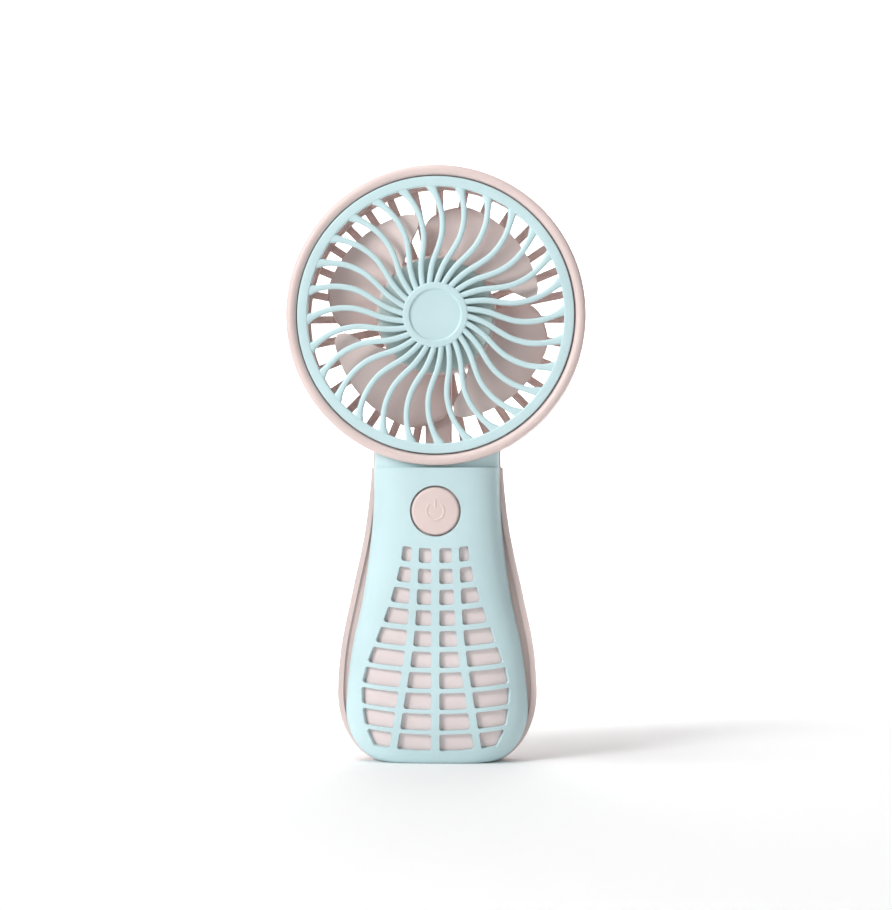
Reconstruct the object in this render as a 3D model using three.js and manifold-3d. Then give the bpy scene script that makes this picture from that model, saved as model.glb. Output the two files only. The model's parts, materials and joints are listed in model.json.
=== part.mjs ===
// A handheld electric fan that stands on its flat base. Millimetres, +Z up, air leaves towards -Y.
// The origin is the middle of the base, on the surface that the fan stands on.
import * as THREE from "three";
import { mergeVertices } from "three/addons/utils/BufferGeometryUtils.js";
import Module from "manifold-3d";

const wasm = await Module();
wasm.setup();

// Driving dimensions.
const GAP = 0.3; // left between pieces that touch
const FAR = 60; // reach of a block that cuts everything on one side

// Head: a round drum whose axis runs along Y at HEAD_Z.
const HEAD_Z = 149.5;
const RING_OUTER = 50;
const RING_INNER = 46.5;
const DRUM_BACK = 15; // the drum runs from -DRUM_BACK to +DRUM_BACK
const STOP_INNER = 45.2; // the two inner ledges that the grilles rest on
const STOP_THICK = 1.5;
const GRILLE_OUTER = 46.1;
const GRILLE_INNER = 42.8; // inside of the front grille's rim
const REAR_INNER = 44.4; // inside of the rear grille's rim
const GRILLE_FACE = 14.6; // distance of a grille's outside face from the middle of the drum
const GRILLE_RIM = 2.8;
const GRILLE_RIB = 2.2;

const FRONT_RIBS = 28;
const FRONT_RIB_WIDTH = 1.95;
const FRONT_RIB_PHASE = 11.2; // degrees clockwise from the top, at the rim
const FRONT_HUB = 10.9;
const FRONT_DISH = 8.7;
const FRONT_DISH_DEPTH = 0.6;

const REAR_RIBS = 32;
const REAR_RIB_WIDTH = 2.7;
const REAR_HUB = 19.5;
const MOTOR_CUP_OUTER = 14;
const MOTOR_CUP_INNER = 12.5;
const MOTOR_CUP_FRONT = 3;
const DUCT_HALF = 4.4; // the duct takes the motor's leads down to the neck
const DUCT_WALL = 1;
const DUCT_FRONT = 2.9;

// Impeller. Its blades run from the hub's front face back to BLADE_BACK.
const BLADES = 4;
const BLADE_FRONT = -9.5;
const BLADE_BACK = 0.3;
const BLADE_THICK = 1.2;
const BLADE_PEAK = 38.6; // tip radius at the leading corner
const BLADE_TAIL = 35.1; // tip radius at the trailing corner
const BLADE_LEAD_ANGLE = -7.5; // of the straight part of the leading edge, clockwise from the top
const BLADE_PEAK_ANGLE = 10;
const BLADE_LEAD_BEND = 31.5; // radius where the leading edge starts to sweep round
const BLADE_ROOT_ANGLE = 56;
const BLADE_TAIL_ANGLE = 79.4;
const HUB_OUTER = 20;
const HUB_WALL = 1.4;
const HUB_FRONT = -10.4;
const HUB_BACK = 1.5;
const CAP_R = 19.2;
const CAP_FRONT = -11.7;

// Motor: a flat brushed motor on the same axis.
const SHAFT_R = 1;
const CAN_R = 12.2;
const CAN_WALL = 0.8;
const CAN_FRONT = -5;
const CAN_BACK = 8;
const END_CAP_BACK = 10.8;
const MAGNET_THICK = 1.9;
const MAGNET_HALF_ANGLE = 62;
const ARMATURE_R = 8.6;
const POLE_NECK = 3;
const POLE_SHOE = 1.6;
const MOTOR_SCREW_X = 8;

// Handle: superellipse sections, the front cover and the back shell meet at PARTING.
const HANDLE_TOP = 98.7;
const HANDLE_DEPTH = 14;
const BASE_WIDTH = 17.5;
const BASE_DEPTH = 10.5;
const COVER_CORNER = 18; // height of the rounded corner at the base
const SHELL_CORNER = 24;
const SQUARENESS = 3.4;
const PARTING = -4;
const COVER_WALL = 1.4;
const SHELL_WALL = 1.8;
const FLANGE_DEPTH = 2.4; // the shell's rim is turned in over this depth
const NECK_Z = 95; // everything above this height is solid, apart from the slot for the neck
const NECK_TOP = 105;
const NECK_HALF = 21.4;
const NECK_DEPTH = 11.8;
const NECK_CLEAR = 0.5; // between the neck and the drum

// Tongue of the drum, trapped between the two halves of the handle.
const TONGUE_HALF = 11.5;
const TONGUE_FRONT = -7;
const TONGUE_BACK = 9;
const FOOT_BOTTOM = 92.4;
const FOOT_TOP = 94.6;
const FOOT_STEP = 1.5;
const WIRE_SLOT = [-3.2, 3.2, 1.4, 7]; // x from, x to, y from, y to

// Windows in the front cover: rows numbered from the top.
const WINDOW_ROWS = 10;
const WINDOW_TOP = 71.9;
const WINDOW_PITCH = 6.88;
const WINDOW_HEIGHT_TOP = 4.9;
const WINDOW_HEIGHT_BOTTOM = 5.7;
const CENTRE_BAR_HALF = 1.4;
const SIDE_BAR_HALF = 1.3;
const WINDOW_RISE = 1.9; // how far a row's outer end stands above its middle
const LINER_THICK = 1.2;
const LINER_MARGIN = 1.8;

// Button, board and screws.
const BUTTON_Z = 84.3;
const BUTTON_HOLE = 8.5;
const BUTTON_R = 7.9;
const BUTTON_FRONT = -14.2;
const BUTTON_BACK = -10.5;
const BUTTON_FLANGE = 9.2;
const BOARD = { halfWidth: 12, low: 76.5, high: 92, front: -4, back: -2.4 };
const BOARD_SCREWS = [
  [-9.6, 90.2],
  [9.6, 78.4],
];
const CASE_SCREWS = [
  [-16.6, 96],
  [16.6, 96],
  [-22.6, 44],
  [22.6, 44],
];
const CASE_SCREW_SEAT = 0.4;
const CASE_SCREW_TIP = -8.2;
const CASE_POST_R = 2.2;
const CASE_POST_FRONT = -9.4;
const CASE_SCREW_R = 1.2;
const CASE_HOLE_R = 1.5;
const CASE_HEAD_R = 1.9;
const CASE_SINK_R = 2.2;
const CASE_BOSS_R = 3.4;

// Battery and charging port.
const CELL_R = 9;
const CELL_LOW = 11;
const CELL_HIGH = 76;
const CELL_Y = 1;
const USB_Y = 3;
const USB_WIDTH = 8.94;
const USB_HEIGHT = 3.26;
const LEAD_R = 0.6;

// Colours and finishes.
const mint = { color: 0xcde6e9, roughness: 0.5, metalness: 0 };
const pink = { color: 0xe4d0cb, roughness: 0.5, metalness: 0 };
const palePink = { color: 0xe8d9d6, roughness: 0.6, metalness: 0 };
const greyGreen = { color: 0xccd6d4, roughness: 0.5, metalness: 0 };
const steel = { color: 0xb8babd, roughness: 0.35, metalness: 0.9 };
const magnet = { color: 0x3a3a3d, roughness: 0.7, metalness: 0.2 };
const iron = { color: 0x85878a, roughness: 0.45, metalness: 0.8 };
const copper = { color: 0xb87348, roughness: 0.35, metalness: 0.9 };
const brass = { color: 0xc8a860, roughness: 0.35, metalness: 0.9 };
const carbon = { color: 0x28282a, roughness: 0.8, metalness: 0 };
const nylon = { color: 0xe8e6df, roughness: 0.55, metalness: 0 };
const board = { color: 0x2f6b46, roughness: 0.5, metalness: 0 };
const black = { color: 0x222326, roughness: 0.5, metalness: 0 };
const sleeve = { color: 0x4f8fb5, roughness: 0.4, metalness: 0 };
const red = { color: 0xb5332e, roughness: 0.5, metalness: 0 };

const radians = THREE.MathUtils.degToRad;
const fan = new THREE.Group();

// Solids and booleans.

function solidOf(geometry) {
  const bare = geometry.clone();
  bare.deleteAttribute("normal");
  bare.deleteAttribute("uv");
  const merged = mergeVertices(bare, 1e-4);
  return new wasm.Manifold(
    new wasm.Mesh({
      numProp: 3,
      vertProperties: merged.attributes.position.array,
      triVerts: new Uint32Array(merged.index.array),
    }),
  );
}

function geometryOf(solid) {
  const mesh = solid.getMesh();
  const geometry = new THREE.BufferGeometry();
  geometry.setAttribute("position", new THREE.BufferAttribute(mesh.vertProperties, 3));
  geometry.setIndex(new THREE.BufferAttribute(mesh.triVerts, 1));
  const flat = geometry.toNonIndexed();
  flat.computeVertexNormals();
  return flat;
}

function unite(solids) {
  return solids.reduce((sum, next) => sum.add(next));
}

function cut(solid, tools) {
  return tools.reduce((rest, tool) => rest.subtract(tool), solid);
}

function addPiece(name, solid, finish) {
  const mesh = new THREE.Mesh(geometryOf(solid), new THREE.MeshStandardMaterial(finish));
  mesh.name = name;
  fan.add(mesh);
}

// Basic shapes.

function block(x0, x1, y0, y1, z0, z1) {
  const box = new THREE.BoxGeometry(x1 - x0, y1 - y0, z1 - z0);
  return solidOf(box.translate((x0 + x1) / 2, (y0 + y1) / 2, (z0 + z1) / 2));
}

// A body of revolution about the head's axis: the profile's points are [radius, y].
function turned(profile, sides = 32, x = 0, z = HEAD_Z) {
  const points = profile.map(([radius, y]) => new THREE.Vector2(radius, y));
  if (THREE.ShapeUtils.area(points) < 0) {
    points.reverse();
  }
  const lathe = new THREE.LatheGeometry(points, sides);
  return solidOf(lathe.translate(x, 0, z));
}

// A plain disc or pin along Y, between two y values.
function pin(radius, y0, y1, x = 0, z = HEAD_Z, sides = 24) {
  const cylinder = new THREE.CylinderGeometry(radius, radius, y1 - y0, sides);
  return solidOf(cylinder.translate(x, (y0 + y1) / 2, z));
}

function tube(outer, inner, y0, y1, sides = 20) {
  return pin(outer, y0, y1, 0, HEAD_Z, sides).subtract(pin(inner, y0 - 1, y1 + 1, 0, HEAD_Z, sides));
}

// A vertical disc or post, between two heights.
function post(radius, z0, z1, x, y, sides = 32) {
  const cylinder = new THREE.CylinderGeometry(radius, radius, z1 - z0, sides);
  cylinder.rotateX(Math.PI / 2);
  return solidOf(cylinder.translate(x, y, (z0 + z1) / 2));
}

// A plate: an outline in X and Z, between two y values.
function plate(outline, y0, y1, z = 0) {
  const slab = new THREE.ExtrudeGeometry(outline, {
    depth: y1 - y0,
    bevelEnabled: false,
    curveSegments: 8,
  });
  slab.rotateX(Math.PI / 2);
  return solidOf(slab.translate(0, y1, z));
}

// A closed outline through the points, always drawn anticlockwise.
function outlineOf(points) {
  const corners = points.map(([x, z]) => new THREE.Vector2(x, z));
  if (THREE.ShapeUtils.isClockWise(corners)) {
    corners.reverse();
  }
  return new THREE.Shape(corners);
}

// A point on the head's face: the angle is in degrees, clockwise from the top seen from the front.
function polar(radius, degrees) {
  return [radius * Math.sin(radians(degrees)), radius * Math.cos(radians(degrees))];
}

function arc(radius, from, to, steps) {
  return Array.from({ length: steps + 1 }, (_, i) =>
    polar(radius, THREE.MathUtils.lerp(from, to, i / steps)),
  );
}

function circle(radius, sides) {
  return arc(radius, 0, 360 - 360 / sides, sides - 1);
}

// The handle's sections.

function smoothThrough(points) {
  const heights = points.map(([z]) => z);
  const values = points.map(([, value]) => value);
  const curve = new THREE.CubicInterpolant(heights, values, 1, new Float64Array(1));
  const [low, high] = [heights[0], heights[heights.length - 1]];
  return (z) => curve.evaluate(THREE.MathUtils.clamp(z, low, high))[0];
}

const coverSides = smoothThrough([
  [0, 30.7],
  [20, 30.7],
  [38, 28.7],
  [55, 25.1],
  [75, 22.3],
  [88, 21.4],
  [101, 21.3],
]);
const shellSides = smoothThrough([
  [0, 33.6],
  [23, 33.6],
  [38, 32.5],
  [55, 29.1],
  [75, 24.8],
  [88, 23],
  [101, 21.9],
]);

// From 0 at the base to 1 at the top of a rounded corner.
function cornerAt(z, height) {
  const below = 1 - Math.min(z, height) / height;
  return Math.sqrt(1 - below * below);
}

function coverWidth(z) {
  return BASE_WIDTH + (coverSides(z) - BASE_WIDTH) * cornerAt(z, COVER_CORNER);
}

function shellWidth(z) {
  return BASE_WIDTH + (shellSides(z) - BASE_WIDTH) * cornerAt(z, SHELL_CORNER);
}

function handleDepth(z) {
  return BASE_DEPTH + (HANDLE_DEPTH - BASE_DEPTH) * cornerAt(z, COVER_CORNER);
}

const LEVELS = [0, 1, 4, 9, 16, 24, 34, 44, 56, 70, 84, HANDLE_TOP];
const LOBE_SIDES = 28;

function rounded(value, size) {
  return size * Math.sign(value) * Math.abs(value) ** (2 / SQUARENESS);
}

// The handle's form, or a hollow in it: a round bar whose sections are reshaped level by level.
function lobe(widthAt, depthAt, inset, low, high) {
  const levels = [low, ...LEVELS.filter((z) => z > low + 0.5 && z < high - 0.5), high];
  const rows = levels.length - 1;
  const bar = new THREE.CylinderGeometry(1, 1, 1, LOBE_SIDES, rows);
  const place = bar.attributes.position;
  for (let i = 0; i < place.count; i += 1) {
    const z = levels[Math.round((place.getY(i) + 0.5) * rows)];
    const x = rounded(place.getX(i), widthAt(z) - inset);
    const y = -rounded(place.getZ(i), depthAt(z) - inset);
    place.setXYZ(i, x, y, z);
  }
  return solidOf(bar);
}

// Everything in front of, or behind, a plane across Y.
function front(y) {
  return block(-FAR, FAR, -FAR, y, -FAR, HEAD_Z + FAR);
}

function behind(y) {
  return block(-FAR, FAR, y, FAR, -FAR, HEAD_Z + FAR);
}

// Head.

function addRing() {
  const lip = (RING_OUTER - RING_INNER) / 2;
  const middle = (RING_OUTER + RING_INNER) / 2;
  const end = DRUM_BACK - lip;
  const seat = GRILLE_FACE - GRILLE_RIM - GAP;
  const half = [];
  for (let i = 0; i <= 5; i += 1) {
    const turn = (Math.PI * i) / 5;
    half.push([middle + lip * Math.cos(turn), end + lip * Math.sin(turn)]);
  }
  half.push([RING_INNER, seat], [STOP_INNER, seat], [STOP_INNER, seat - STOP_THICK]);
  half.push([RING_INNER, seat - STOP_THICK]);
  const frontHalf = half.map(([radius, y]) => [radius, -y]).reverse();
  const ring = turned([...half, ...frontHalf, half[0]], 56);
  const tongue = block(-TONGUE_HALF, TONGUE_HALF, TONGUE_FRONT, TONGUE_BACK, FOOT_BOTTOM, 101.3);
  const foot = block(
    -TONGUE_HALF,
    TONGUE_HALF,
    TONGUE_FRONT - FOOT_STEP,
    TONGUE_BACK + FOOT_STEP,
    FOOT_BOTTOM,
    FOOT_TOP,
  );
  const slot = block(...WIRE_SLOT, FOOT_BOTTOM - 1, HEAD_Z - STOP_INNER + 1);
  addPiece("head_ring", cut(unite([ring, tongue, foot]), [slot]), pink);
}

// How far clockwise a front rib's middle line stands from its end at the rim, in degrees.
const ribSweep = smoothThrough([
  [10.8, -8.6],
  [13.9, -5],
  [18, -0.6],
  [22, 3.7],
  [26.2, 6.1],
  [30.3, 6.2],
  [34.4, 5],
  [38.5, 2.8],
  [42.8, 0],
]);

// One side of a front rib, from the hub to the rim; side is +1 on its clockwise side.
function ribEdge(phase, side) {
  const steps = 7;
  return Array.from({ length: steps + 1 }, (_, i) => {
    const radius = THREE.MathUtils.lerp(FRONT_HUB, GRILLE_INNER, i / steps);
    const slope = radius * radians(ribSweep(radius + 0.5) - ribSweep(radius - 0.5));
    const halfWidth = (FRONT_RIB_WIDTH / 2) * Math.sqrt(1 + slope * slope);
    const spread = THREE.MathUtils.radToDeg(halfWidth / radius);
    return polar(radius, phase + ribSweep(radius) + side * spread);
  });
}

function addFrontGrille() {
  const face = outlineOf(circle(GRILLE_OUTER, 56));
  const pitch = 360 / FRONT_RIBS;
  for (let i = 0; i < FRONT_RIBS; i += 1) {
    const phase = FRONT_RIB_PHASE + i * pitch;
    const outward = ribEdge(phase, 1);
    const inward = ribEdge(phase + pitch, -1).reverse();
    face.holes.push(outlineOf([...outward, ...inward]));
  }
  const back = GRILLE_RIB - GRILLE_FACE;
  const ribs = plate(face, -GRILLE_FACE, back, HEAD_Z);
  const rim = tube(GRILLE_OUTER, GRILLE_INNER, -GRILLE_FACE, GRILLE_RIM - GRILLE_FACE, 56);
  const dish = pin(FRONT_DISH, -GRILLE_FACE - 1, FRONT_DISH_DEPTH - GRILLE_FACE, 0, HEAD_Z, 32);
  addPiece("front_grille", cut(unite([ribs, rim]), [dish]), mint);
}

function addRearGrille() {
  const face = outlineOf(circle(GRILLE_OUTER, 48));
  const pitch = 360 / REAR_RIBS;
  const spreadAt = (radius) => THREE.MathUtils.radToDeg(Math.asin(REAR_RIB_WIDTH / 2 / radius));
  for (let i = 0; i < REAR_RIBS; i += 1) {
    const from = i * pitch;
    const inner = spreadAt(REAR_HUB);
    const outer = spreadAt(REAR_INNER);
    const outerArc = arc(REAR_INNER, from + pitch - outer, from + outer, 1);
    face.holes.push(
      outlineOf([polar(REAR_HUB, from + inner), polar(REAR_HUB, from + pitch - inner), ...outerArc]),
    );
  }
  const ribs = plate(face, GRILLE_FACE - GRILLE_RIB, GRILLE_FACE, HEAD_Z);
  const inside = GRILLE_FACE - GRILLE_RIM;
  const rim = tube(GRILLE_OUTER, REAR_INNER, inside, GRILLE_FACE, 48);
  const cup = tube(MOTOR_CUP_OUTER, MOTOR_CUP_INNER, MOTOR_CUP_FRONT, GRILLE_FACE - 1, 28);
  const hub = pin(REAR_HUB - 0.8, inside, GRILLE_FACE - GRILLE_RIB + 0.5, 0, HEAD_Z, 32);
  const mouth = HEAD_Z - REAR_INNER;
  const duct = block(-DUCT_HALF, DUCT_HALF, DUCT_FRONT, GRILLE_FACE, mouth, HEAD_Z - 13);
  const foot = block(-DUCT_HALF, DUCT_HALF, inside + 0.5, GRILLE_FACE, mouth - 1, mouth + 1);
  const half = DUCT_HALF - DUCT_WALL;
  const room = block(-half, half, DUCT_FRONT + DUCT_WALL, inside, mouth - 1, HEAD_Z - 14.2);
  const notch = block(-2.8, 2.8, END_CAP_BACK - 3, inside - GAP, HEAD_Z - 16, HEAD_Z - 10);
  const screws = [-MOTOR_SCREW_X, MOTOR_SCREW_X].flatMap((x) => [
    pin(1.3, inside - 1, GRILLE_FACE + 1, x, HEAD_Z, 16),
    pin(2.3, GRILLE_FACE - 1.4, GRILLE_FACE + 1, x, HEAD_Z, 16),
  ]);
  addPiece("rear_grille", cut(unite([ribs, rim, cup, hub, duct, foot]), [room, notch, ...screws]), pink);
}

// Impeller.

// The angle of a blade's leading edge and trailing edge at a radius.
function leadAngle(radius) {
  const bend = Math.max(0, (radius - BLADE_LEAD_BEND) / (BLADE_PEAK - BLADE_LEAD_BEND));
  return BLADE_LEAD_ANGLE + (BLADE_PEAK_ANGLE - BLADE_LEAD_ANGLE) * bend ** 2;
}

function tailAngle(radius) {
  const reach = Math.min(1, (radius - HUB_OUTER) / (BLADE_TAIL - 2.7 - HUB_OUTER));
  const along = 1 - (1 - Math.max(0, reach)) ** 1.4;
  return BLADE_ROOT_ANGLE + (BLADE_TAIL_ANGLE - BLADE_ROOT_ANGLE) * along;
}

// One blade: a thin slab bent to its place, with its root sunk in the hub's wall.
function blade(phase) {
  const slab = new THREE.BoxGeometry(1, 1, 1, 6, 7, 1);
  const place = slab.attributes.position;
  const root = HUB_OUTER - HUB_WALL / 2;
  for (let i = 0; i < place.count; i += 1) {
    const out = place.getX(i) + 0.5;
    const round = place.getY(i) + 0.5;
    const tip = THREE.MathUtils.lerp(BLADE_PEAK, BLADE_TAIL, round);
    const radius = THREE.MathUtils.lerp(root, tip, out);
    const leadRadius = THREE.MathUtils.lerp(root, BLADE_PEAK, out);
    const tailRadius = THREE.MathUtils.lerp(root, BLADE_TAIL, out);
    const angle = THREE.MathUtils.lerp(leadAngle(leadRadius), tailAngle(tailRadius), round);
    const [x, z] = polar(radius, phase + angle);
    const middle = THREE.MathUtils.lerp(BLADE_BACK, BLADE_FRONT, round ** 0.9);
    place.setXYZ(i, x, middle + 0.7 + place.getZ(i) * BLADE_THICK, z + HEAD_Z);
  }
  return solidOf(slab);
}

function addImpeller() {
  const inner = HUB_OUTER - HUB_WALL;
  const floor = HUB_FRONT + HUB_WALL;
  const cup = turned(
    [
      [0, HUB_FRONT],
      [HUB_OUTER - 1, HUB_FRONT],
      [HUB_OUTER, HUB_FRONT + 1],
      [HUB_OUTER, HUB_BACK],
      [inner, HUB_BACK],
      [inner, floor],
      [3, floor],
      [3, floor + 2.6],
      [SHAFT_R + GAP, floor + 2.6],
      [SHAFT_R + GAP, floor],
      [0, floor],
    ],
    36,
  );
  const blades = Array.from({ length: BLADES }, (_, i) => blade((i * 360) / BLADES));
  addPiece("impeller", unite([cup, ...blades]), pink);
  const cap = turned(
    [
      [0, CAP_FRONT],
      [CAP_R - 1.2, CAP_FRONT],
      [CAP_R, CAP_FRONT + 0.5],
      [CAP_R, HUB_FRONT - GAP],
      [0, HUB_FRONT - GAP],
    ],
    36,
  );
  addPiece("impeller_hub_cap", cap, greyGreen);
}

// Motor.

function addMotorCase() {
  const inner = CAN_R - CAN_WALL;
  const can = turned(
    [
      [3.1, CAN_FRONT],
      [CAN_R - 0.8, CAN_FRONT],
      [CAN_R, CAN_FRONT + 0.8],
      [CAN_R, CAN_BACK],
      [inner, CAN_BACK],
      [inner, CAN_FRONT + 1],
      [3.1, CAN_FRONT + 1],
      [3.1, CAN_FRONT],
    ],
    28,
  );
  addPiece("motor_can", can, steel);
  const cap = pin(CAN_R, CAN_BACK + GAP, END_CAP_BACK, 0, HEAD_Z, 28);
  const holes = [-MOTOR_SCREW_X, MOTOR_SCREW_X].map((x) => pin(1.3, CAN_BACK, 12, x, HEAD_Z, 16));
  holes.push(pin(2.6, CAN_BACK, 12));
  addPiece("motor_end_cap", cut(cap, holes), nylon);
  addPiece("motor_bush_front", tube(2.8, SHAFT_R + 0.1, -6, -3.2), brass);
  addPiece("motor_bush_rear", tube(2.3, SHAFT_R + 0.1, CAN_BACK + 0.6, END_CAP_BACK - GAP), brass);
}

function addMagnets() {
  const outer = CAN_R - CAN_WALL - GAP;
  const inner = outer - MAGNET_THICK;
  for (const [name, middle] of [
    ["motor_magnet_left", -90],
    ["motor_magnet_right", 90],
  ]) {
    const [from, to] = [middle - MAGNET_HALF_ANGLE, middle + MAGNET_HALF_ANGLE];
    const outline = outlineOf([...arc(outer, from, to, 12), ...arc(inner, to, from, 12)]);
    addPiece(name, plate(outline, -3, 6.2, HEAD_Z), magnet);
  }
}

// The turning core has three poles, each with a coil round its neck.
function addArmature() {
  const poles = [0, 120, 240];
  const [low, high] = [-1.5, 4.5];
  const parts = [pin(3.2, low, high, 0, HEAD_Z, 24)];
  for (const angle of poles) {
    const inner = ARMATURE_R - POLE_SHOE;
    const shoe = outlineOf([
      ...arc(ARMATURE_R, angle - 50, angle + 50, 8),
      ...arc(inner, angle + 50, angle - 50, 8),
    ]);
    parts.push(plate(shoe, low, high, HEAD_Z));
    const neck = new THREE.BoxGeometry(POLE_NECK, high - low, inner + 0.6 - 2);
    neck.translate(0, (low + high) / 2, (inner + 0.6 + 2) / 2);
    neck.rotateY(radians(angle));
    parts.push(solidOf(neck.translate(0, 0, HEAD_Z)));
    const coil = new THREE.BoxGeometry(5.6, high - low + 2.4, 1.9);
    coil.translate(0, (low + high) / 2, 5);
    coil.rotateY(radians(angle));
    const hole = new THREE.BoxGeometry(POLE_NECK + 2 * GAP, high - low + 2 * GAP, 6);
    hole.translate(0, (low + high) / 2, 5);
    hole.rotateY(radians(angle));
    const winding = solidOf(coil.translate(0, 0, HEAD_Z));
    const name = "motor_coil_" + (poles.indexOf(angle) + 1);
    addPiece(name, winding.subtract(solidOf(hole.translate(0, 0, HEAD_Z))), copper);
  }
  const core = unite(parts).subtract(pin(SHAFT_R + GAP, low - 1, high + 1, 0, HEAD_Z, 24));
  addPiece("motor_armature", core, iron);
  addPiece("motor_commutator", tube(2.6, SHAFT_R + GAP, 5.9, 7.8, 24), copper);
  addPiece("motor_shaft", pin(SHAFT_R, HUB_FRONT + HUB_WALL + GAP, END_CAP_BACK + 0.2), steel);
  addPiece("motor_brush_left", block(-6, -2.9, 6.3, 7.5, HEAD_Z - 0.8, HEAD_Z + 0.8), carbon);
  addPiece("motor_brush_right", block(2.9, 6, 6.3, 7.5, HEAD_Z - 0.8, HEAD_Z + 0.8), carbon);
}

// A screw whose head faces +Y.
function screw(seat, tip, headR, headHeight, shankR, x, z) {
  return turned(
    [
      [0, tip],
      [shankR * 0.6, tip],
      [shankR, tip + 0.8],
      [shankR, seat],
      [headR, seat],
      [headR, seat + headHeight * 0.6],
      [headR * 0.7, seat + headHeight],
      [0, seat + headHeight],
    ],
    12,
    x,
    z,
  );
}

// Handle.

// Height of a window row's top or bottom edge at its middle, and its rise towards the sides.
function rowEdges(row) {
  const share = row / (WINDOW_ROWS - 1);
  const top = WINDOW_TOP - row * WINDOW_PITCH;
  const height = THREE.MathUtils.lerp(WINDOW_HEIGHT_TOP, WINDOW_HEIGHT_BOTTOM, share);
  return [top - height, top];
}

// Outside edge of the windows and middle line of the side bars, against height.
const windowReach = smoothThrough([
  [4, 20.6],
  [10, 23.4],
  [17, 24.6],
  [24, 24.9],
  [31, 23.3],
  [38, 20.7],
  [48, 16.9],
  [58, 13.7],
  [67, 11.5],
  [75, 10.6],
]);
const sideBar = smoothThrough([
  [4, 14.2],
  [20, 11.6],
  [42, 8.3],
  [70, 6.6],
]);

function windowRise(x, z) {
  return WINDOW_RISE * (x / windowReach(z)) ** 2 * (windowReach(z) / 25);
}

// The outline of one window between two side edges, right-hand side of the cover.
function windowOutline(low, high, leftAt, rightAt, mirror) {
  const points = [];
  for (const [z, share] of [
    [low, 0],
    [low, 1],
    [high, 1],
    [high, 0],
  ]) {
    const x = THREE.MathUtils.lerp(leftAt(z), rightAt(z), share);
    points.push([mirror * x, z + windowRise(x, z)]);
  }
  return outlineOf(points);
}

function windowTools() {
  const tools = [];
  for (let row = 0; row < WINDOW_ROWS; row += 1) {
    const [low, high] = rowEdges(row);
    for (const mirror of [-1, 1]) {
      const inner = windowOutline(
        low,
        high,
        () => CENTRE_BAR_HALF,
        (z) => sideBar(z) - SIDE_BAR_HALF,
        mirror,
      );
      const outer = windowOutline(low, high, (z) => sideBar(z) + SIDE_BAR_HALF, windowReach, mirror);
      tools.push(plate(inner, -FAR, -8), plate(outer, -FAR, -8));
    }
  }
  return tools;
}

// The neck goes on up, set back from the front panel, to meet the drum.
function neckCollar(half) {
  const collar = lobe(
    () => half,
    () => NECK_DEPTH,
    0,
    NECK_Z - 1,
    NECK_TOP,
  );
  return collar.subtract(pin(RING_OUTER + NECK_CLEAR, -FAR, FAR, 0, HEAD_Z, 56));
}

function tongueSlot() {
  const room = 0.4;
  const half = TONGUE_HALF + room;
  return block(-half, half, TONGUE_FRONT - room, TONGUE_BACK + room, NECK_Z - 2, 110);
}

function addFrontCover() {
  const outside = lobe(coverWidth, handleDepth, 0, 0, HANDLE_TOP);
  const hollow = lobe(coverWidth, handleDepth, COVER_WALL, COVER_WALL, NECK_Z);
  const edge = PARTING - GAP / 2;
  const body = unite([outside, neckCollar(NECK_HALF)]);
  let cover = cut(body, [hollow, behind(edge), tongueSlot()]);
  const posts = CASE_SCREWS.slice(2).map(([x, z]) => pin(CASE_POST_R, CASE_POST_FRONT, edge, x, z, 16));
  for (const [x, z] of BOARD_SCREWS) {
    posts.push(pin(1.8, -13.2, BOARD.front - GAP, x, z, 16));
  }
  cover = unite([cover, ...posts]);
  const holes = CASE_SCREWS.map(([x, z]) => pin(CASE_HOLE_R, CASE_SCREW_TIP - 0.5, 0, x, z, 16));
  for (const [x, z] of BOARD_SCREWS) {
    holes.push(pin(1.05, -9, 0, x, z, 12));
  }
  holes.push(pin(BUTTON_HOLE, -FAR, -9, 0, BUTTON_Z, 40));
  addPiece("handle_front_cover", cut(cover, [...holes, ...windowTools()]), mint);
}

function addLiner() {
  const inset = COVER_WALL + GAP;
  const low = 2.9;
  const high = WINDOW_TOP + 1.4;
  const skin = lobe(coverWidth, handleDepth, inset, low, high).subtract(
    lobe(coverWidth, handleDepth, inset + LINER_THICK, low - 0.6, high + 1),
  );
  const reach = (z) => [windowReach(z) + LINER_MARGIN, z];
  const side = [low - 1, 10, 17, 24, 31, 38, 48, 58, 67, high + 1].map(reach);
  const mirrored = side.map(([x, z]) => [-x, z]).reverse();
  const outline = outlineOf([...side, ...mirrored]);
  addPiece("window_liner", skin.intersect(plate(outline, -FAR, -5)), palePink);
}

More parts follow.
